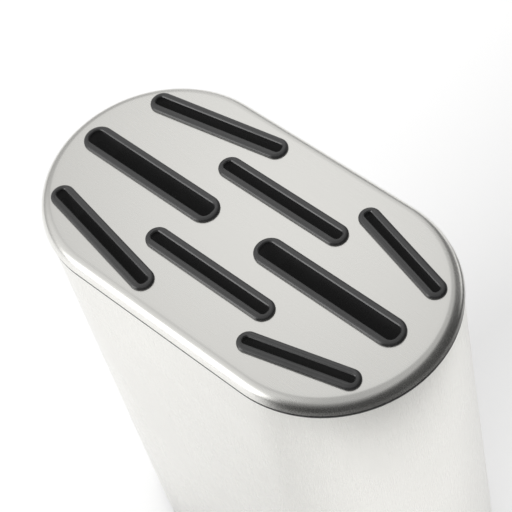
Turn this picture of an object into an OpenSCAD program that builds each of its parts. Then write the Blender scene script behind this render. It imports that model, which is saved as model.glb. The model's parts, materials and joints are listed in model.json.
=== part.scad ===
// Oval knife block: a stainless body on a moulded base, with a lift-off stainless lid
// whose eight slots have moulded liners. +X runs along the oval and +Z is up.
// The origin is the centre of the footprint, at the soles of the feet.

/* [Outline] */
// Length of the lid along X
lid_l = 188; // [186:1:200]
// Width of the lid along Y
lid_w = 100; // [98:1:104]
// Height of the lid's flat top above the table
lid_top = 235; // [210:1:260]

/* [Lid] */
// Sheet thickness of the lid
lid_t = 0.8; // [0.6:0.1:1]
// Outer radius of the lid's rounded edge
edge_r = 5.2; // [4.8:0.1:5.2]
// Depth of the lid carrier's skirt below the flat top
skirt_depth = 21; // [18:1:26]

/* [Slots] */
// Length of a wide slot's bezel
wide_l = 72; // [66:1:72]
// Width of a wide slot's bezel
wide_w = 12.8; // [12:0.2:13]
// Length of a medium slot's bezel
medium_l = 65; // [58:1:65]
// Width of a medium slot's bezel
medium_w = 10; // [9.6:0.2:10.4]
// Length of a short slot's bezel
short_l = 50.6; // [44:0.2:52]
// Width of a short slot's bezel
short_w = 9; // [8.8:0.2:9.6]
// Height of a bezel above the lid
bezel_h = 1.5; // [1:0.1:2]
// Width of a bezel's ring, from its outline to the opening
bezel_ring = 3; // [2.6:0.1:3]

/* [Body] */
// Sheet thickness of the body
shell_t = 0.8; // [0.6:0.1:1]
// Inset of the body's wall from the lid's edge
shell_inset = 0.8; // [0.6:0.1:1]
// Height of the blade guide's top face above the table
guide_top = 123; // [90:1:150]

/* [Base] */
// Height of a rubber foot below the base
foot_h = 3; // [2:0.5:5]
// Thickness of the base's floor
base_t = 3.5; // [3:0.5:5]

/* [Hidden] */
$fn = 96;

steel = "silver";
plastic = "#2c2c2e";
rubber = "#1c1c1d";
overlap = 1;      // how far a cutter runs past a face
slack = 0.1;      // clearance of a liner in its slot, each side
hole_slack = 0.2; // clearance of a screw in its hole, on the radius
thread_slack = 0.05; // clearance that stands in for a thread, on the radius

// Outline: every piece that follows the oval turns about the same two centres
half = (lid_l - lid_w) / 2;
lid_r = lid_w / 2;
shell_r = lid_r - shell_inset;
bore_r = shell_r - shell_t;

// Lid
flat_r = lid_r - edge_r;
lid_bottom = lid_top - edge_r - lid_t;
hem_w = 2;
hem_r = lid_r - hem_w;
carrier_t = 2.2;
carrier_top = lid_top - lid_t;
carrier_gap = 1.4;
carrier_r = bore_r - carrier_gap;
carrier_bevel = 2.4;
skirt_t = 2;
flange_t = 0.8;
flange_inset = 0.25;
flange_r = lid_r - flange_inset;
skirt_bottom = lid_top - skirt_depth;
shell_top = lid_bottom - flange_t;

// Liners: the sleeve below the bezel goes through the lid and its carrier. The opening has
// squarer ends than an oval: it runs on a little, and its corners have a smaller radius,
// which is given as a share of its half-width.
sleeve_t = 1.4;
sleeve_bottom = skirt_bottom + 1;
bezel_round = 1.3;
end_extra = 0.5;
corner_share = 0.75;
barb_l = 7;
barb_h = 4;
barb_out = 0.8;

// Slots: [x, y, turn, length, width] of each liner, in the order of NODES. The outer ones
// fan in towards the two ends, and each pair mirrors about the X axis.
wide_left = [-50, 0, 0, wide_l, wide_w];
wide_right = [44, 0, 0, wide_l, wide_w];
middle = [2, 20.8, 0, medium_l, medium_w];
outer_left = [-44.3, 33.5, 10, medium_l, medium_w];
outer_right = [55, 29.2, -14.6, short_l, short_w];
function mirrored(s) = [s[0], -s[1], -s[2], s[3], s[4]];
slots = [
    wide_left, wide_right,
    mirrored(middle), middle,
    mirrored(outer_left), outer_left,
    mirrored(outer_right), outer_right
];

// Lid studs, and the springs that grip the body's bore
stud_r = 1.5;
stud_l = 9;
nut_h = 2.4;
nut_r = 3.1;
stud_at = [[66, 15], [66, -15], [-66, 15], [-66, -15], [9, 36], [9, -36]];
clip_x = 28;
clip_w = 10;
clip_t = 0.4;
clip_bow = 0.7;
clip_leg = 6.6;
leaf_h = 11;
leaf_fn = 360;

// Base, mat and brackets
base_bottom = foot_h;
base_floor = base_bottom + base_t;
base_inset = 0.2;
base_r = shell_r - base_inset;
plug_gap = 0.3;
plug_r = bore_r - plug_gap;
plug_t = 2.2;
plug_h = 5.5;
plug_top = base_floor + plug_h;
rib_t = 1.6;
rib_pitch_x = 25;
rib_pitch_y = 24;
mat_t = 3;
mat_gap = 0.8;
mat_r = plug_r - plug_t - mat_gap;
mat_cut = 0.5;
bracket_t = 1.2;
bracket_w = 14;
bracket_leg = 13;
bracket_h = 12;
bracket_x = 30;
bracket_screw_in = 8;
bracket_screw_y = bore_r - bracket_screw_in;
bracket_boss_r = 5;
tapping_r = 1.75;
tapping_grip = 6;

// Posts, blade guide and their screws
post_x = 66;
post_y = 15;
post_r = 4;
guide_t = 3;
guide_wall_gap = 0.8;
guide_r = bore_r - guide_wall_gap;
guide_rim_h = 9;
guide_gap = 2.5;
machine_r = 2;
boss_r = 6;
thread_depth = 12;
grip = 9;
head_h = 2.6;
head_recess = 0.6;
socket_depth = 1.6;
screw_seat = base_bottom + head_h + head_recess;

// Feet
foot_x = 58;
foot_y = 29;
foot_r = 9;
sole_round = 1;
stem_r = 3;
stem_lip = 0.8;
stem_boss_h = 1;
stem_head_h = 1.2;
stem_shoulder = base_floor + stem_boss_h;
stem_top = stem_shoulder + stem_head_h;

// ---------------------------------------------------------------- shared shapes

// Carries a section, drawn as distance out from the centre line and height, once round
// an oval whose end circles are centred half_l either side of the origin.
module around(half_l) {
    for (side = [0, 1]) {
        mirror([side, 0, 0]) translate([half_l, 0, 0]) rotate(-90)
            rotate_extrude(angle = 180) children();
        mirror([0, side, 0]) translate([-half_l, 0, 0]) rotate([90, 0, 90])
            linear_extrude(2 * half_l) children();
    }
}

// Solid oval of half-width r between two heights
module oval(r, low, high, half_l = half) {
    translate([0, 0, low]) around(half_l) square([r, high - low]);
}

// Oval ring between two half-widths and two heights
module oval_ring(r_out, r_in, low, high, half_l = half) {
    translate([0, 0, low]) around(half_l) translate([r_in, 0]) square([r_out - r_in, high - low]);
}

// Places its children at a slot's own centre and direction
module at_slot(slot) {
    translate([slot[0], slot[1], 0]) rotate(slot[2]) children();
}

// Half-width of a slot's opening, and half the straight run of its bezel
function opening_r(slot) = slot[4] / 2 - bezel_ring;
function straight(slot) = (slot[3] - slot[4]) / 2;

// Cuts all eight slots, each grow wider all round than the opening in its liner
module all_slots(grow, low, high) {
    for (slot = slots) {
        at_slot(slot) oval(opening_r(slot) + grow, low, high, straight(slot));
    }
}

// Copies its children into the four corners of a centred rectangle
module four(x, y) {
    for (sx = [-1, 1], sy = [-1, 1]) translate([sx * x, sy * y, 0]) children();
}

// Pan-head screw with a hexagon socket, head down, with its shank pointing up from z = 0
module screw(shank_r, shank_l) {
    cylinder(r = shank_r, h = shank_l);
    translate([0, 0, -head_h]) difference() {
        cylinder(r = 2 * shank_r, h = head_h);
        translate([0, 0, -overlap]) cylinder(r = shank_r, h = overlap + socket_depth, $fn = 6);
    }
}

// ---------------------------------------------------------------- lid

// Section of the lid's edge: a quarter round of sheet, and the hem turned in under it
module edge_section() {
    translate([flat_r, lid_t]) intersection() {
        difference() {
            circle(edge_r);
            circle(edge_r - lid_t);
        }
        square(edge_r);
    }
    translate([hem_r, 0]) square([lid_r - hem_r, lid_t]);
}

// Pressed lid: a flat plate with eight slots, inside the rounded edge
module top_cap() color(steel) {
    difference() {
        oval(flat_r, lid_top - lid_t, lid_top);
        all_slots(sleeve_t + slack, lid_top - edge_r, lid_top + overlap);
    }
    translate([0, 0, lid_bottom]) around(half) edge_section();
}

// Section of a liner before its opening is cut: a bezel with a rounded flank on a core
module liner_section(core_r, bezel_r) {
    square([bezel_r, bezel_h - bezel_round]);
    square([bezel_r - bezel_round, bezel_h]);
    translate([bezel_r - bezel_round, bezel_h - bezel_round]) intersection() {
        circle(bezel_round);
        square(bezel_round);
    }
    translate([0, sleeve_bottom - lid_top]) square([core_r, lid_top - sleeve_bottom]);
}

// The opening through a liner: a long rectangle with rounded corners
module liner_opening(slot) {
    low = sleeve_bottom - overlap;
    high = lid_top + bezel_h + overlap;
    half_w = opening_r(slot);
    half_l = straight(slot) + half_w + end_extra;
    corner = corner_share * half_w;
    translate([0, 0, low]) {
        four(half_l - corner, half_w - corner) cylinder(r = corner, h = high - low);
        translate([-half_l + corner, -half_w, 0]) cube([2 * (half_l - corner), 2 * half_w, high - low]);
        translate([-half_l, -half_w + corner, 0]) cube([2 * half_l, 2 * (half_w - corner), high - low]);
    }
}

// Wedge under the carrier that keeps a liner in, pointing out along +Y from the sleeve
module barb() {
    translate([-barb_l / 2, 0, -barb_h]) rotate([90, 0, 90]) linear_extrude(barb_l)
        polygon([[0, 0], [barb_out, barb_h], [0, barb_h]]);
}

module slot_liner(slot) color(plastic) {
    core_r = opening_r(slot) + sleeve_t;
    barb_x = straight(slot) / 2;
    at_slot(slot) {
        difference() {
            translate([0, 0, lid_top]) around(straight(slot)) liner_section(core_r, slot[4] / 2);
            liner_opening(slot);
        }
        for (turn = [0, 180], x = [-barb_x, barb_x]) {
            rotate(turn) translate([x, core_r, carrier_top - carrier_t]) barb();
        }
    }
}

// Moulded carrier under the lid: a plate, a skirt that drops into the body, and the
// flange that stands on the body's edge and shows as a thin dark line under the lid
module lid_carrier() color(plastic) {
    difference() {
        union() {
            translate([0, 0, carrier_top - carrier_t]) around(half)
                polygon([[0, 0], [carrier_r, 0], [carrier_r - carrier_bevel, carrier_t], [0, carrier_t]]);
            oval_ring(carrier_r, carrier_r - skirt_t, skirt_bottom, carrier_top - carrier_t);
            oval_ring(flange_r, carrier_r - skirt_t, shell_top, lid_bottom);
        }
        all_slots(sleeve_t + slack, carrier_top - carrier_t - overlap, lid_top);
        for (p = stud_at) {
            translate([p[0], p[1], carrier_top - carrier_t - overlap])
                cylinder(r = stud_r + hole_slack, h = carrier_t + 2 * overlap);
        }
    }
}

// Studs welded to the underside of the lid
module lid_studs() color(steel) {
    for (p = stud_at) {
        translate([p[0], p[1], carrier_top - stud_l]) cylinder(r = stud_r, h = stud_l);
    }
}

// Nuts that hold the carrier on the studs
module lid_nuts() color(steel) {
    for (p = stud_at) {
        translate([p[0], p[1], carrier_top - carrier_t - nut_h]) difference() {
            cylinder(r = nut_r, h = nut_h, $fn = 6);
            translate([0, 0, -overlap]) cylinder(r = stud_r + thread_slack, h = nut_h + 2 * overlap);
        }
    }
}

// Section of a spring clip that hooks over the skirt's lower edge: a short inner leg, a
// foot and an outer leaf that bows towards the body. The origin is the skirt's inner corner.
module clip_section() {
    bow_r = (leaf_h * leaf_h / 4 + clip_bow * clip_bow) / (2 * clip_bow);
    translate([-clip_t, -clip_t]) square([clip_t, clip_leg]);
    translate([-clip_t, -clip_t]) square([skirt_t + 2 * clip_t, clip_t]);
    intersection() {
        translate([skirt_t + clip_bow - bow_r, leaf_h / 2 - clip_t]) difference() {
            circle(bow_r + clip_t, $fn = leaf_fn);
            circle(bow_r, $fn = leaf_fn);
        }
        translate([skirt_t, -clip_t]) square([clip_bow + clip_t, leaf_h]);
    }
}

module spring_clip(sx, sy) color(steel) {
    translate([sx * clip_x - clip_w / 2, 0, skirt_bottom]) mirror([0, sy < 0 ? 1 : 0, 0])
        translate([0, carrier_r - skirt_t, 0]) rotate([90, 0, 90]) linear_extrude(clip_w) clip_section();
}

// ---------------------------------------------------------------- body and base

// Oval tube rolled from sheet, standing on the base's ledge
module body_shell() color(steel) {
    oval_ring(shell_r, bore_r, base_floor, shell_top);
}

// Stiffening ribs across the base's floor
module base_ribs() {
    intersection() {
        oval(plug_r - plug_t / 2, base_floor, plug_top);
        union() {
            for (i = [-3:3]) {
                translate([i * rib_pitch_x - rib_t / 2, -lid_r, base_floor]) cube([rib_t, lid_w, plug_h]);
            }
            for (i = [-1:1]) {
                translate([-lid_l / 2, i * rib_pitch_y - rib_t / 2, base_floor]) cube([lid_l, rib_t, plug_h]);
            }
        }
    }
}

// Round boss on the base, up to a height
module boss(r, top) {
    translate([0, 0, base_bottom]) cylinder(r = r, h = top - base_bottom);
}

// Hole up through the base for a screw, with a pocket below for its head
module screw_hole(shank_r) {
    translate([0, 0, base_bottom - overlap]) {
        cylinder(r = shank_r + hole_slack, h = plug_top - base_bottom + 2 * overlap);
        cylinder(r = 2 * (shank_r + hole_slack), h = screw_seat - base_bottom + overlap);
    }
}

module base_plate() color(plastic) {
    difference() {
        union() {
            oval(base_r, base_bottom, base_floor);
            oval_ring(plug_r, plug_r - plug_t, base_floor, plug_top);
            base_ribs();
            four(post_x, post_y) boss(boss_r, plug_top);
            four(bracket_x, bracket_screw_y) boss(bracket_boss_r, plug_top);
            four(foot_x, foot_y) boss(boss_r, stem_shoulder);
        }
        four(post_x, post_y) screw_hole(machine_r);
        four(bracket_x, bracket_screw_y) screw_hole(tapping_r);
        four(foot_x, foot_y) cylinder(r = stem_r, h = plug_top);
    }
}

// Soft mat that the blades' tips stand on, cut round the posts and the brackets
module tip_mat() color(rubber) {
    notch_w = bracket_w + 2 * mat_cut;
    notch_in = lid_r - bore_r + bracket_leg + mat_cut;
    difference() {
        oval(mat_r, plug_top, plug_top + mat_t);
        four(post_x, post_y) cylinder(r = post_r + mat_cut, h = lid_top);
        four(bracket_x, lid_r) cube([notch_w, 2 * notch_in, lid_top], center = true);
    }
}

// Plate on four posts that keeps the blades apart lower down
module blade_guide() color(plastic) {
    difference() {
        union() {
            oval(guide_r, guide_top - guide_t, guide_top);
            oval_ring(guide_r, guide_r - skirt_t, guide_top - guide_rim_h, guide_top - guide_t);
        }
        all_slots(guide_gap, guide_top - guide_t - overlap, guide_top + overlap);
        four(post_x, post_y) translate([0, 0, guide_top - guide_t - overlap])
            cylinder(r = machine_r + hole_slack, h = guide_t + 2 * overlap);
    }
}

// Turned post with a tapped hole in each end
module guide_post(sx, sy) color(steel) {
    low = plug_top;
    high = guide_top - guide_t;
    translate([sx * post_x, sy * post_y, 0]) difference() {
        translate([0, 0, low]) cylinder(r = post_r, h = high - low);
        for (z = [low - overlap, high - thread_depth]) {
            translate([0, 0, z]) cylinder(r = machine_r + thread_slack, h = thread_depth + overlap);
        }
    }
}

// Screws down through the blade guide into the posts
module guide_screws() color(steel) {
    four(post_x, post_y) translate([0, 0, guide_top]) mirror([0, 0, 1]) screw(machine_r, guide_t + grip);
}

// Screws up through the base into the posts
module post_screws() color(steel) {
    four(post_x, post_y) translate([0, 0, screw_seat]) screw(machine_r, plug_top - screw_seat + grip);
}

// Angle bracket welded inside the body, which the base is screwed to
module base_bracket(sx, sy) color(steel) {
    translate([sx * bracket_x, 0, plug_top]) mirror([0, sy < 0 ? 1 : 0, 0]) difference() {
        union() {
            translate([-bracket_w / 2, bore_r - bracket_leg, 0]) cube([bracket_w, bracket_leg, bracket_t]);
            translate([-bracket_w / 2, bore_r - bracket_t, 0]) cube([bracket_w, bracket_t, bracket_h]);
        }
        translate([0, bracket_screw_y, -overlap])
            cylinder(r = tapping_r + thread_slack, h = bracket_t + 2 * overlap);
    }
}

// Tapping screws up through the base into the brackets
module base_screws() color(steel) {
    four(bracket_x, bracket_screw_y) translate([0, 0, screw_seat])
        screw(tapping_r, plug_top - screw_seat + tapping_grip);
}

// Rubber foot: a disc with a rounded sole, a stem through the base and a head above it
module rubber_foot(sx, sy) color(rubber) {
    translate([sx * foot_x, sy * foot_y, 0]) rotate_extrude() {
        square([foot_r - sole_round, foot_h]);
        translate([0, sole_round]) square([foot_r, foot_h - sole_round]);
        translate([foot_r - sole_round, sole_round]) circle(sole_round);
        square([stem_r, stem_top]);
        translate([0, stem_shoulder]) square([stem_r + stem_lip, stem_head_h]);
    }
}

// ---------------------------------------------------------------- nodes

top_cap();
slot_liner(slots[0]);  // liner_wide_left
slot_liner(slots[1]);  // liner_wide_right
slot_liner(slots[2]);  // liner_middle_front
slot_liner(slots[3]);  // liner_middle_back
slot_liner(slots[4]);  // liner_left_front
slot_liner(slots[5]);  // liner_left_back
slot_liner(slots[6]);  // liner_right_front
slot_liner(slots[7]);  // liner_right_back
lid_carrier();
lid_studs();
lid_nuts();
spring_clip(-1, -1);  // spring_clip_front_left
spring_clip(1, -1);  // spring_clip_front_right
spring_clip(-1, 1);  // spring_clip_back_left
spring_clip(1, 1);  // spring_clip_back_right
body_shell();
base_plate();
tip_mat();
blade_guide();
guide_post(-1, -1);  // guide_post_front_left
guide_post(1, -1);  // guide_post_front_right
guide_post(-1, 1);  // guide_post_back_left
guide_post(1, 1);  // guide_post_back_right
guide_screws();
post_screws();
base_bracket(-1, -1);  // base_bracket_front_left
base_bracket(1, -1);  // base_bracket_front_right
base_bracket(-1, 1);  // base_bracket_back_left
base_bracket(1, 1);  // base_bracket_back_right
base_screws();
rubber_foot(-1, -1);  // foot_front_left
rubber_foot(1, -1);  // foot_front_right
rubber_foot(-1, 1);  // foot_back_left
rubber_foot(1, 1);  // foot_back_right
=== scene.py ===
"""Looks of an oval stainless knife block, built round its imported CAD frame.

Lengths are metres in the frame's own axes: +X along the oval, +Y to the back, +Z up, with
the origin on the table under the middle of the block.
"""

import json
import math

import bmesh
import bpy
from mathutils import Matrix, Vector


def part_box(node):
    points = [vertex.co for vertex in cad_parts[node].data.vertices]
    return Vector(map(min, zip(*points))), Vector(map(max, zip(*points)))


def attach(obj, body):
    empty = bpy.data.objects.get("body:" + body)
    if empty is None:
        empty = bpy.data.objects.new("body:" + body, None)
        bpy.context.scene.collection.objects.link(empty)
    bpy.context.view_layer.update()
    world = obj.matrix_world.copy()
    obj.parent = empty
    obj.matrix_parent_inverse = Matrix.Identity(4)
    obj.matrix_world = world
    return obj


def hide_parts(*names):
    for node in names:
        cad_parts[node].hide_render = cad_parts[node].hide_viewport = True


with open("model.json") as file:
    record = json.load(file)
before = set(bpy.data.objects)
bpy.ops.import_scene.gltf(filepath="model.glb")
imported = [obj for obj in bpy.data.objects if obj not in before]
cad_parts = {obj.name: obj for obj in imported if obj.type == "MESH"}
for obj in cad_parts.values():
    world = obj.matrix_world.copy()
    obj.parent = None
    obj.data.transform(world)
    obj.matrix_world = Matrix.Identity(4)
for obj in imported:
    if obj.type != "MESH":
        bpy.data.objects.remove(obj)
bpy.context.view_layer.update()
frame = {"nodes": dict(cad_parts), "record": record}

MM = 0.001

# ---------------------------------------------------------------- sizes

# The lid: outline, top plane, sheet and rounded edge, which stops some degrees short of
# upright
LID_LOW, LID_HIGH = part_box("top_cap")
LID_R = LID_HIGH.y
STRAIGHT = LID_HIGH.x - LID_R
LID_TOP = LID_HIGH.z
SHEET = 0.8 * MM
EDGE_W = 5.2 * MM
EDGE_R = 4.95 * MM
EDGE_END = 14
FLAT_R = LID_R - EDGE_W
FLAT_MARGIN = 1.5 * MM
HEM_R = LID_R - 2 * MM
HEM_BEVEL = 0.08 * MM

# The body tube
SHELL_LOW, SHELL_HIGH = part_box("body_shell")
SHELL_R = SHELL_HIGH.y
BORE_R = SHELL_R - SHEET
SHELL_ROUND = 0.2 * MM

# The liners: bezel ring, sleeve, the slots that they stand in, a mouth that is longer than
# the sleeve and has tighter corners, and barbs
BEZEL_RING = 3 * MM
BEZEL_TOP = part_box("liner_wide_left")[1].z
SLEEVE_T = 1.4 * MM
SLEEVE_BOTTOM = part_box("liner_wide_left")[0].z
SLOT_SLACK = 0.1 * MM
MOUTH_EXTRA = 0.5 * MM
MOUTH_CORNER = 0.75
BARB_L = 7 * MM
BARB_H = 4 * MM
BARB_OUT = 0.8 * MM
BARB_TOP = LID_TOP - 3 * MM

# Each size of liner, by its bezel's length and width, and the turn of the slanted ones
WIDE = (72 * MM, 12.8 * MM)
MEDIUM = (65 * MM, 10 * MM)
SHORT = (50.6 * MM, 9 * MM)
FAN_LEFT = 10
FAN_RIGHT = -14.6

# Each liner's node, with its size and its turn in degrees
LINERS = {
    "liner_wide_left": (WIDE, 0),
    "liner_wide_right": (WIDE, 0),
    "liner_middle_front": (MEDIUM, 0),
    "liner_middle_back": (MEDIUM, 0),
    "liner_left_front": (MEDIUM, -FAN_LEFT),
    "liner_left_back": (MEDIUM, FAN_LEFT),
    "liner_right_front": (SHORT, -FAN_RIGHT),
    "liner_right_back": (SHORT, FAN_RIGHT),
}

# The camera: how it stands to the middle of the lid, in degrees and in lid half-widths
CAMERA_AZIMUTH = 55.84
CAMERA_ELEVATION = 53.85
CAMERA_ROLL = -16.29
CAMERA_DISTANCE = 13.339 * LID_R
CAMERA_LENS = 124.33
CAMERA_AIM = Vector((0.2230 * LID_R, -0.0870 * LID_R, LID_TOP))

# The room that the steel mirrors: its radiance by how far a direction points to the window
WINDOW_AZIMUTH = -53
WINDOW_ELEVATION = 41
ROOM_LEVELS = (
    (-0.3, 0.25),
    (-0.1, 0.15),
    (0.19, 0.58),
    (0.5, 0.50),
    (0.66, 0.50),
    (0.78, 0.46),
    (0.92, 0.84),
    (1.0, 0.88),
)
BACKDROP = 0.95

# The table's glow at the left, under the block and at the right, and its reach
GLOW_LEFT = 0.53
GLOW_MIDDLE = 0.36
GLOW_RIGHT = 0.62
GLOW_SPREAD = 0.15
FLOOR_HALF = 6.0

# The dark side, towards the camera: a cloth on the table and a screen that stands on it.
# Each has its middle and half-width in degrees round the block, and fades at both ends. The
# cloth sets in between two radii; the screen fades out upwards, by distance from the origin.
CLOTH_ARC = (88, 100)
SCREEN_ARC = (74, 86)
ARC_FADE = 18
CLOTH_NEAR = 0.25
CLOTH_FULL = 0.36
SCREEN_R = 0.7
SCREEN_H = 1.3
SCREEN_FULL = 0.8
SCREEN_END = math.hypot(SCREEN_R, SCREEN_H)

# Corners sharper than this many degrees stay sharp in the shading
SHARP = 35

# Steps along an oval's round end and its straight side, for the lid and the body
ARC_STEPS = 72
LINE_STEPS = 24


# ---------------------------------------------------------------- mesh helpers

def oval_path(straight, arc_steps, line_steps):
    """Stations round an oval: the x of the centre that each turns about, and its way out."""
    path = []
    for side in (1, -1):
        for i in range(arc_steps):
            angle = math.pi * (i / arc_steps - 0.5)
            path.append((side * straight, side * math.cos(angle), side * math.sin(angle)))
        for i in range(line_steps):
            path.append((side * straight * (1 - 2 * i / line_steps), 0, side))
    return path


def ring(bm, path, r, z, place=Matrix()):
    """One loop of vertices, r out from the path's centre line at height z."""
    return [bm.verts.new(place @ Vector((x + r * out_x, r * out_y, z))) for x, out_x, out_y in path]


def join_rings(bm, one, two):
    """Faces between two loops of the same length."""
    count = len(one)
    for i in range(count):
        j = (i + 1) % count
        bm.faces.new((one[i], one[j], two[j], two[i]))


def loop_edges(bm, loop):
    """The edges along a closed loop of vertices."""
    edges = []
    for i, vert in enumerate(loop):
        other = loop[(i + 1) % len(loop)]
        edges.append(bm.edges.get((vert, other)) or bm.edges.new((vert, other)))
    return edges


def sweep(bm, path, profile):
    """Carries a closed profile of (distance out, height) once round the path."""
    rings = [ring(bm, path, r, z) for r, z in profile]
    for i, one in enumerate(rings):
        join_rings(bm, one, rings[(i + 1) % len(rings)])


def arc(cx, cz, radius, start, end, steps):
    """Points on an arc in the profile plane, from one angle to another in degrees."""
    points = []
    for i in range(steps + 1):
        angle = math.radians(start + (end - start) * i / steps)
        points.append((cx + radius * math.cos(angle), cz + radius * math.sin(angle)))
    return points


def finish_mesh(bm, name, material):
    """Turns a bmesh into a smooth-shaded object whose real corners stay sharp."""
    bmesh.ops.recalc_face_normals(bm, faces=bm.faces)
    mesh = bpy.data.meshes.new(name)
    bm.to_mesh(mesh)
    bm.free()
    for polygon in mesh.polygons:
        polygon.use_smooth = True
    mesh.set_sharp_from_angle(angle=math.radians(SHARP))
    mesh.materials.append(material)
    piece = bpy.data.objects.new(name, mesh)
    bpy.context.scene.collection.objects.link(piece)
    return piece


# ---------------------------------------------------------------- material helpers

NOISE_SPAN = (0.3, 0.7)


class Shader:
    """A principled material and short ways to add the nodes that feed it."""

    def __init__(self, name, color, roughness, metallic=0.0, **settings):
        self.material = bpy.data.materials.new(name)
        self.material.use_nodes = True
        self.nodes = self.material.node_tree.nodes
        self.links = self.material.node_tree.links
        self.bsdf = next(n for n in self.nodes if n.type == "BSDF_PRINCIPLED")
        self.bsdf.inputs["Base Color"].default_value = (*color, 1)
        self.bsdf.inputs["Roughness"].default_value = roughness
        self.bsdf.inputs["Metallic"].default_value = metallic
        for key, value in settings.items():
            self.bsdf.inputs[key.replace("_", " ")].default_value = value
        self.place = self.nodes.new("ShaderNodeTexCoord").outputs["Object"]
        self.normal = None

    def noise(self, stretch, detail=2.0, roughness=0.5):
        """Noise with stretch cycles a metre along each axis."""
        mapping = self.nodes.new("ShaderNodeMapping")
        mapping.inputs["Scale"].default_value = stretch
        self.links.new(self.place, mapping.inputs["Vector"])
        node = self.nodes.new("ShaderNodeTexNoise")
        node.inputs["Scale"].default_value = 1.0
        node.inputs["Detail"].default_value = detail
        node.inputs["Roughness"].default_value = roughness
        self.links.new(mapping.outputs["Vector"], node.inputs["Vector"])
        return node.outputs["Fac"]

    def range(self, value, low, high, start=0.0, end=1.0):
        """Rescales start to end into low to high."""
        node = self.nodes.new("ShaderNodeMapRange")
        limits = {"From Min": start, "From Max": end, "To Min": low, "To Max": high}
        for key, number in limits.items():
            node.inputs[key].default_value = number
        self.links.new(value, node.inputs["Value"])
        return node.outputs["Result"]

    def vary(self, noise, low, high):
        """Rescales noise, which stays well inside 0 to 1, into low to high."""
        return self.range(noise, low, high, *NOISE_SPAN)

    def combine(self, operation, one, two):
        """Two values put together."""
        node = self.nodes.new("ShaderNodeMath")
        node.operation = operation
        self.links.new(one, node.inputs[0])
        self.links.new(two, node.inputs[1])
        return node.outputs["Value"]

    def add(self, one, two):
        """Sum of two values."""
        return self.combine("ADD", one, two)

    def multiply(self, one, two):
        """Product of two values."""
        return self.combine("MULTIPLY", one, two)

    def part(self, axis):
        """One of the place's three coordinates."""
        node = self.nodes.new("ShaderNodeSeparateXYZ")
        self.links.new(self.place, node.inputs["Vector"])
        return node.outputs[axis]

    def glow(self, strength):
        """White light of the material's own, of a strength that varies over it."""
        self.links.new(strength, self.bsdf.inputs["Emission Strength"])
        self.bsdf.inputs["Emission Color"].default_value = (1, 1, 1, 1)

    def vector(self, operation, value, output, other=(0, 0, 0)):
        """A vector taken through one step, with a fixed vector if the step needs one."""
        node = self.nodes.new("ShaderNodeVectorMath")
        node.operation = operation
        node.inputs[1].default_value = other
        self.links.new(value, node.inputs[0])
        return node.outputs[output]

    def rough(self, value):
        """Roughness that varies over the surface."""
        self.links.new(value, self.bsdf.inputs["Roughness"])

    def tint(self, value, one, two):
        """Colour that runs from one to two as value goes from 0 to 1."""
        node = self.nodes.new("ShaderNodeMix")
        node.data_type = "RGBA"
        node.inputs["A"].default_value = (*one, 1)
        node.inputs["B"].default_value = (*two, 1)
        self.links.new(value, node.inputs["Factor"])
        self.links.new(node.outputs["Result"], self.bsdf.inputs["Base Color"])

    def bump(self, height, depth):
        """Adds relief of a given depth in metres."""
        node = self.nodes.new("ShaderNodeBump")
        node.inputs["Strength"].default_value = 1.0
        node.inputs["Distance"].default_value = depth
        self.links.new(height, node.inputs["Height"])
        if self.normal:
            self.links.new(self.normal, node.inputs["Normal"])
        self.normal = node.outputs["Normal"]
        self.links.new(self.normal, self.bsdf.inputs["Normal"])


# ---------------------------------------------------------------- materials

HAIRLINE_DEPTH = 0.0015 * MM


def satin_steel(name, along, shade, roughness, grain_depth, spread=0.0):
    """Satin stainless: fine brushing along one axis, faint clouds and a few hairlines.
    Spread is how much wider it blurs round the block than up and down. Noise frequencies
    are in cycles a metre."""
    shader = Shader(name, (shade,) * 3, roughness, metallic=1.0, Anisotropic=spread)
    fine = [5200.0] * 3
    fine[along] = 60.0
    hair = [1400.0] * 3
    hair[along] = 9.0
    grain = shader.noise(fine, detail=3.0, roughness=0.6)
    hairlines = shader.noise(hair, detail=1.0)
    clouds = shader.noise((28.0,) * 3, detail=3.0)
    shader.rough(shader.add(
        shader.vary(grain, roughness - 0.02, roughness + 0.02),
        shader.vary(clouds, -0.02, 0.02),
    ))
    shader.tint(
        shader.vary(clouds, 0.0, 1.0),
        (shade * 0.98, shade * 0.97, shade * 0.93),
        (shade * 1.02, shade * 1.01, shade * 0.97),
    )
    shader.bump(grain, grain_depth)
    shader.bump(hairlines, HAIRLINE_DEPTH)
    return shader.material


def moulded_plastic(name, shade, roughness, depth, gloss=0.5, painted_deep_glow=0.0):
    """Black moulding: spark-eroded grain, faint flow clouds and rubbed spots. Deep glow is
    painted light: a faint glow of the plastic's own, full from 2 mm under the lid's top downwards
    and fading out just above it, which stands in for the little light that a room puts down into
    the slots."""
    shader = Shader(name, (shade,) * 3, roughness, Specular_IOR_Level=gloss)
    grain = shader.noise((3800.0,) * 3, detail=2.0)
    clouds = shader.noise((130.0,) * 3, detail=3.0)
    shader.rough(shader.vary(clouds, roughness - 0.06, roughness + 0.06))
    shader.tint(
        shader.vary(clouds, 0.0, 1.0),
        (shade * 0.85,) * 3,
        (shade * 1.15, shade * 1.15, shade * 1.18),
    )
    shader.bump(grain, depth)
    if painted_deep_glow:
        # Painted light: the plastic glows faintly below the lid's top, in place of the room's light
        # down in the slots
        shader.glow(shader.range(shader.part("Z"), painted_deep_glow, 0.0, LID_TOP - 2 * MM, LID_TOP + MM))
    return shader.material


def plain_metal(name, shade, roughness, stretch):
    """Small metal parts: rolled or plated, with a streaked sheen."""
    shader = Shader(name, (shade,) * 3, roughness, metallic=1.0)
    streaks = shader.noise(stretch, detail=3.0)
    shader.rough(shader.vary(streaks, roughness - 0.07, roughness + 0.07))
    shader.tint(
        shader.vary(streaks, 0.0, 1.0),
        (shade * 0.93,) * 3,
        (shade * 1.05, shade * 1.05, shade * 1.03),
    )
    shader.bump(streaks, 0.01 * MM)
    return shader.material


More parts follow.
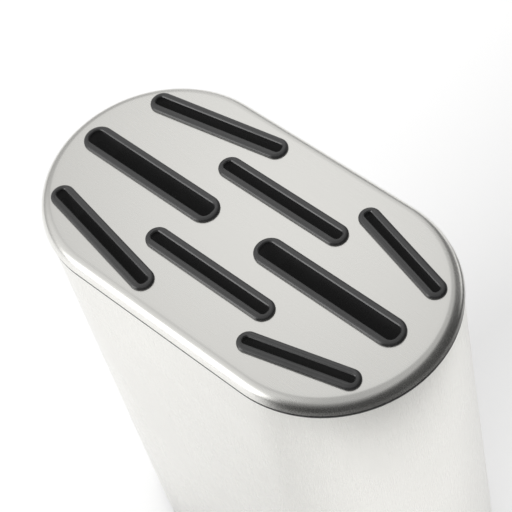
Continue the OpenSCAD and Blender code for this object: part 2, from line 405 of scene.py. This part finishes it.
def soft_rubber(name, shade, roughness):
    """Soft black rubber with a dusty bloom."""
    shader = Shader(name, (shade,) * 3, roughness, Specular_IOR_Level=0.35)
    bloom = shader.noise((90.0,) * 3, detail=4.0)
    grain = shader.noise((2600.0,) * 3, detail=2.0)
    shader.rough(shader.vary(bloom, roughness - 0.08, roughness + 0.08))
    shader.tint(shader.vary(bloom, 0.0, 1.0), (shade * 0.8,) * 3, (shade * 1.5,) * 3)
    shader.bump(grain, 0.03 * MM)
    return shader.material


ALONG_X, ALONG_Z = 0, 2
MATERIALS = {
    "lid_steel": satin_steel("lid_steel", ALONG_X, 0.76, 0.26, 0.0012 * MM),
    "body_steel": satin_steel("body_steel", ALONG_Z, 0.78, 0.27, 0.0015 * MM, spread=0.3),
    # The liners' plastic carries a faint painted glow down in the slots
    "liner_plastic": moulded_plastic(
        "liner_plastic", 0.034, 0.28, 0.006 * MM, gloss=0.8, painted_deep_glow=0.008
    ),
    "frame_plastic": moulded_plastic("frame_plastic", 0.03, 0.55, 0.02 * MM),
    "spring_steel": plain_metal("spring_steel", 0.66, 0.28, (2000.0, 2000.0, 80.0)),
    "fastener_steel": plain_metal("fastener_steel", 0.62, 0.35, (500.0, 500.0, 500.0)),
    "bracket_steel": plain_metal("bracket_steel", 0.60, 0.40, (80.0, 1500.0, 1500.0)),
    "mat_rubber": soft_rubber("mat_rubber", 0.035, 0.8),
    "foot_rubber": soft_rubber("foot_rubber", 0.025, 0.6),
}


# ---------------------------------------------------------------- lid

def liner_place(node):
    """Where a liner stands: its own centre and turn, with z measured from the table."""
    low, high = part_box(node)
    centre = (low + high) / 2
    turn = math.radians(LINERS[node][1])
    return Matrix.Translation((centre.x, centre.y, 0)) @ Matrix.Rotation(turn, 4, "Z")


def liner_shape(node):
    """Half the straight run of a liner, and the half-width of its opening."""
    length, width = LINERS[node][0]
    return (length - width) / 2, width / 2 - BEZEL_RING


def edge_profile():
    """The lid's edge from the flat round to the hem and back in under the sheet. It ends a
    few degrees short of upright, and the last of it runs straight."""
    centre = LID_TOP - EDGE_R
    slope = math.tan(math.radians(EDGE_END))
    turned = arc(FLAT_R, centre, EDGE_R, 90, EDGE_END, steps=28)
    out, z = turned[-1]
    hem_low = LID_TOP - EDGE_W
    hem_out = out + (z - hem_low - HEM_BEVEL) * slope
    return (
        [(FLAT_R - FLAT_MARGIN, LID_TOP)]
        + turned
        + [(hem_out, hem_low + HEM_BEVEL), (hem_out - HEM_BEVEL, hem_low)]
        + [(HEM_R, hem_low), (HEM_R, centre)]
        + arc(FLAT_R, centre, EDGE_R - SHEET, 0, 90, steps=16)
        + [(FLAT_R - FLAT_MARGIN, LID_TOP - SHEET)]
    )


def make_lid():
    """The pressed lid: a rounded edge round a flat plate that eight slots are cut through."""
    bm = bmesh.new()
    path = oval_path(STRAIGHT, ARC_STEPS, LINE_STEPS)
    rings = [ring(bm, path, r, z) for r, z in edge_profile()]
    for one, two in zip(rings, rings[1:]):
        join_rings(bm, one, two)
    top_edges = loop_edges(bm, rings[0])
    under_edges = loop_edges(bm, rings[-1])
    for node in LINERS:
        straight, opening_r = liner_shape(node)
        slot_path = oval_path(straight, arc_steps=16, line_steps=10)
        slot_r = opening_r + SLEEVE_T + SLOT_SLACK
        top = ring(bm, slot_path, slot_r, LID_TOP, liner_place(node))
        under = ring(bm, slot_path, slot_r, LID_TOP - SHEET, liner_place(node))
        join_rings(bm, top, under)
        top_edges += loop_edges(bm, top)
        under_edges += loop_edges(bm, under)
    for edges in (top_edges, under_edges):
        bmesh.ops.triangle_fill(bm, use_beauty=True, use_dissolve=False, edges=edges)
    return finish_mesh(bm, "pressed_lid", MATERIALS["lid_steel"])


def mouth_reach(opening_r, out_x, out_y):
    """How far a liner's opening reaches from its centre line: a rectangle with rounded
    corners, which is a little longer than the oval round it."""
    end = opening_r + MOUTH_EXTRA
    corner = MOUTH_CORNER * opening_r
    in_x, in_y = end - corner, opening_r - corner
    across, along = abs(out_y), abs(out_x)
    if along * in_y >= across * end:
        return end / along
    if along * opening_r <= across * in_x:
        return opening_r / across
    near = along * in_x + across * in_y
    return near + math.sqrt(near ** 2 - in_x ** 2 - in_y ** 2 + corner ** 2)


def liner_profile():
    """Section of a liner, as the edge that a point is measured out from and its height:
    a thin sleeve, a chamfered lip that overhangs it, a level ring and a domed flank."""
    nib = 0.15 * MM
    chamfer = 0.37 * MM
    undercut = 0.45 * MM
    nose = BEZEL_TOP - nib - chamfer
    groove = 0.07 * MM
    ring_low = BEZEL_TOP - groove
    ring_in = 0.75 * MM
    ring_w = 0.25 * MM
    crease = 0.1 * MM
    flank_w = 1.65 * MM
    flank_h = 1.2 * MM
    flank_steps = 14
    foot = LID_TOP + 0.02 * MM
    mouth = [(undercut, SLEEVE_BOTTOM), (undercut, nose - undercut)]
    mouth += arc(nib, nose, nib, 220, 135, steps=5)
    mouth += arc(nib + chamfer, BEZEL_TOP - nib, nib, 135, 90, steps=4)
    mouth += [(ring_in, ring_low), (ring_in + ring_w, ring_low)]
    flank = [(-flank_w - crease, ring_low)]
    for i in range(flank_steps + 1):
        angle = math.radians(90 * i / flank_steps)
        flank.append((flank_w * (math.sin(angle) - 1), BEZEL_TOP - flank_h * (1 - math.cos(angle))))
    return (
        [("mouth", out, z) for out, z in mouth]
        + [("bezel", out, z) for out, z in flank]
        + [("bezel", 0, foot), ("sleeve", 0, foot), ("sleeve", 0, SLEEVE_BOTTOM)]
    )


def add_barb(bm, place):
    """A wedge under the carrier that keeps a liner in, pointing along +Y."""
    section = ((0, -BARB_H), (BARB_OUT, 0), (0, 0))
    ends = [
        [bm.verts.new(place @ Vector((x, y, z))) for y, z in section]
        for x in (-BARB_L / 2, BARB_L / 2)
    ]
    join_rings(bm, *ends)
    for end in ends:
        bm.faces.new(end)


def make_liner(node):
    """One moulded liner with its four barbs."""
    straight, opening_r = liner_shape(node)
    sleeve_r = opening_r + SLEEVE_T
    place = liner_place(node)
    path = oval_path(straight, arc_steps=28, line_steps=12)
    edges = {
        "mouth": [mouth_reach(opening_r, out_x, out_y) for _, out_x, out_y in path],
        "sleeve": [sleeve_r] * len(path),
        "bezel": [opening_r + BEZEL_RING] * len(path),
    }
    bm = bmesh.new()
    rings = []
    for edge, out, z in liner_profile():
        reaches = edges[edge]
        rings.append([
            bm.verts.new(place @ Vector((x + (reach + out) * out_x, (reach + out) * out_y, z)))
            for reach, (x, out_x, out_y) in zip(reaches, path)
        ])
    for i, one in enumerate(rings):
        join_rings(bm, one, rings[(i + 1) % len(rings)])
    for turn in (0, math.pi):
        for side in (-1, 1):
            at = Matrix.Translation((side * straight / 2, sleeve_r, BARB_TOP))
            add_barb(bm, place @ Matrix.Rotation(turn, 4, "Z") @ at)
    return finish_mesh(bm, node.replace("liner", "slot_liner"), MATERIALS["liner_plastic"])


# ---------------------------------------------------------------- body

def make_shell():
    """The body: an oval tube of sheet with eased edges."""
    low, high = SHELL_LOW.z, SHELL_HIGH.z
    ease = SHELL_ROUND
    profile = (
        arc(SHELL_R - ease, low + ease, ease, -90, 0, steps=4)
        + arc(SHELL_R - ease, high - ease, ease, 0, 90, steps=4)
        + arc(BORE_R + ease, high - ease, ease, 90, 180, steps=4)
        + arc(BORE_R + ease, low + ease, ease, 180, 270, steps=4)
    )
    bm = bmesh.new()
    sweep(bm, oval_path(STRAIGHT, ARC_STEPS, LINE_STEPS), profile)
    return finish_mesh(bm, "rolled_shell", MATERIALS["body_steel"])


# ---------------------------------------------------------------- stage

def soft_box(name, at, aim, diameter, radiance, softness=1.0):
    """A round soft box that faces a point and fades over the outer share of its radius."""
    light = bpy.data.lights.new(name, "AREA")
    light.shape = "DISK"
    light.size = diameter
    light.energy = radiance * (math.pi * diameter / 2) ** 2
    light.use_nodes = True
    nodes, links = light.node_tree.nodes, light.node_tree.links
    emission = next(n for n in nodes if n.type == "EMISSION")
    place = nodes.new("ShaderNodeNewGeometry")
    reach = nodes.new("ShaderNodeVectorMath")
    reach.operation = "DISTANCE"
    reach.inputs[1].default_value = at
    fade = nodes.new("ShaderNodeMapRange")
    fade.interpolation_type = "SMOOTHSTEP"
    fade.inputs["From Min"].default_value = diameter / 2
    fade.inputs["From Max"].default_value = diameter / 2 * (1 - softness)
    links.new(place.outputs["Position"], reach.inputs[0])
    links.new(reach.outputs["Value"], fade.inputs["Value"])
    links.new(fade.outputs["Result"], emission.inputs["Strength"])
    lamp = bpy.data.objects.new(name, light)
    lamp.location = at
    lamp.rotation_mode = "QUATERNION"
    lamp.rotation_quaternion = (Vector(aim) - Vector(at)).to_track_quat("-Z", "Y")
    lamp.visible_camera = False
    bpy.context.scene.collection.objects.link(lamp)


def direction(azimuth, elevation):
    """Unit vector towards a place round the block: azimuth 0 is the front, 90 the right."""
    a, e = math.radians(azimuth), math.radians(elevation)
    return Vector((math.sin(a) * math.cos(e), -math.cos(a) * math.cos(e), math.sin(e)))


def make_world():
    """A pale room to the eye. In the steel it is bright at the front left, where its window
    is, and dimmer away from there."""
    world = bpy.data.worlds.new("studio")
    bpy.context.scene.world = world
    world.use_nodes = True
    nodes, links = world.node_tree.nodes, world.node_tree.links
    background = next(n for n in nodes if n.type == "BACKGROUND")
    place = nodes.new("ShaderNodeTexCoord")
    toward = nodes.new("ShaderNodeVectorMath")
    toward.operation = "DOT_PRODUCT"
    toward.inputs[1].default_value = direction(WINDOW_AZIMUTH, WINDOW_ELEVATION)
    halved = nodes.new("ShaderNodeMapRange")
    halved.inputs["From Min"].default_value = -1.0
    ramp = nodes.new("ShaderNodeValToRGB")
    elements = ramp.color_ramp.elements
    elements.remove(elements[1])
    elements[0].position = 0.0
    for towards_window, level in ROOM_LEVELS:
        elements.new((towards_window + 1) / 2).color = (level, level, level, 1)
    elements.remove(elements[0])
    seen = nodes.new("ShaderNodeLightPath")
    choose = nodes.new("ShaderNodeMix")
    choose.data_type = "RGBA"
    choose.inputs["B"].default_value = (BACKDROP, BACKDROP, BACKDROP, 1)
    links.new(place.outputs["Generated"], toward.inputs[0])
    links.new(toward.outputs["Value"], halved.inputs["Value"])
    links.new(halved.outputs["Result"], ramp.inputs["Fac"])
    links.new(seen.outputs["Is Camera Ray"], choose.inputs["Factor"])
    links.new(ramp.outputs["Color"], choose.inputs["A"])
    links.new(choose.outputs["Result"], background.inputs["Color"])


def make_floor():
    """A white table with a glow of its own, which keeps shadows faint: a little stronger
    to both sides, so that the body's walls pick up a brighter floor there."""
    shader = Shader("white_table", (0.8, 0.8, 0.8), 0.6)
    across = shader.part("X")
    shader.glow(shader.add(
        shader.range(across, GLOW_LEFT, GLOW_MIDDLE, -GLOW_SPREAD, 0.0),
        shader.range(across, 0.0, GLOW_RIGHT - GLOW_MIDDLE, 0.0, GLOW_SPREAD),
    ))
    bm = bmesh.new()
    bmesh.ops.create_grid(bm, x_segments=1, y_segments=1, size=FLOOR_HALF)
    finish_mesh(bm, "table", shader.material)


def dark_strip(name, shade, stretch, edges, fade_from, fade_to):
    """Dark cloth round part of the block between two edges, given by radius and height. It
    fades in from one distance to another and from both ends. It shows in mirrorings only."""
    middle, half = stretch
    shader = Shader(name, (shade,) * 3, 0.9)
    reach = shader.vector("LENGTH", shader.place, "Value")
    flat = shader.vector("MULTIPLY", shader.place, "Vector", (1, 1, 0))
    toward = shader.vector("NORMALIZE", flat, "Vector")
    ahead = shader.vector("DOT_PRODUCT", toward, "Value", direction(middle, 0))
    end = math.cos(math.radians(half))
    near = math.cos(math.radians(half - ARC_FADE))
    ends = shader.range(ahead, 0.0, 1.0, end, near)
    shader.links.new(
        shader.multiply(ends, shader.range(reach, 0.0, 1.0, fade_from, fade_to)),
        shader.bsdf.inputs["Alpha"],
    )
    bm = bmesh.new()
    steps = 24
    rows = []
    for radius, height in edges:
        row = []
        for i in range(steps + 1):
            azimuth = middle + half * (2 * i / steps - 1)
            row.append(bm.verts.new(radius * direction(azimuth, 0) + Vector((0, 0, height))))
        rows.append(row)
    one, two = rows
    for i in range(steps):
        bm.faces.new((one[i], one[i + 1], two[i + 1], two[i]))
    strip = finish_mesh(bm, name, shader.material)
    strip.visible_camera = False
    strip.visible_diffuse = False
    strip.visible_shadow = False


def make_lights():
    """A soft box high over the back for the flat of the lid, a bright one at the front left
    for its rim, and a weak one behind."""
    lid = Vector((0, 0, LID_TOP))
    bright_spot = lid + LID_R * Vector((-0.1, 0.9, 0))
    overhead = direction(CAMERA_AZIMUTH + 180, CAMERA_ELEVATION)
    front_left = direction(-26, 19)
    back = direction(-146, 25)
    soft_box("overhead", bright_spot + overhead * 0.75, bright_spot, diameter=0.85, radiance=0.58)
    soft_box("front_left", lid + front_left * 1.1, lid, diameter=1.15, radiance=2.8, softness=0.9)
    soft_box("back", lid + back * 1.2, lid, diameter=1.3, radiance=0.3)


def make_camera():
    """The view down on the lid, from the right-hand end and a little to the front."""
    back = direction(CAMERA_AZIMUTH, CAMERA_ELEVATION)
    level = (-back).cross(Vector((0, 0, 1))).normalized()
    upright = level.cross(-back)
    roll = math.radians(CAMERA_ROLL)
    right = math.cos(roll) * level + math.sin(roll) * upright
    up = -math.sin(roll) * level + math.cos(roll) * upright
    data = bpy.data.cameras.new("camera")
    data.lens = CAMERA_LENS
    data.sensor_width = 36
    camera = bpy.data.objects.new("camera", data)
    turn = Matrix((right, up, back)).transposed().to_4x4()
    camera.matrix_world = Matrix.Translation(CAMERA_AIM + back * CAMERA_DISTANCE) @ turn
    bpy.context.scene.collection.objects.link(camera)
    bpy.context.scene.camera = camera


# ---------------------------------------------------------------- scene

make_camera()

for part in frame["record"]["subparts"]:
    node = frame["nodes"][part["node"]]
    node.data.materials.clear()
    node.data.materials.append(MATERIALS[part["material_slot"]])

lid = make_lid()
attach(lid, "lid")
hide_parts("top_cap")

for name in LINERS:
    liner = make_liner(name)
    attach(liner, "lid")
    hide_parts(name)

shell = make_shell()
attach(shell, "housing")
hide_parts("body_shell")

make_world()
make_floor()
cloth_edges = ((CLOTH_NEAR, MM), (SCREEN_R, MM))
screen_edges = ((SCREEN_R, 0), (SCREEN_R, SCREEN_H))
dark_strip("dark_cloth", 0.10, CLOTH_ARC, cloth_edges, CLOTH_NEAR, CLOTH_FULL)
dark_strip("dark_screen", 0.06, SCREEN_ARC, screen_edges, SCREEN_END, SCREEN_FULL)
make_lights()
bpy.context.scene.view_settings.view_transform = "Standard"
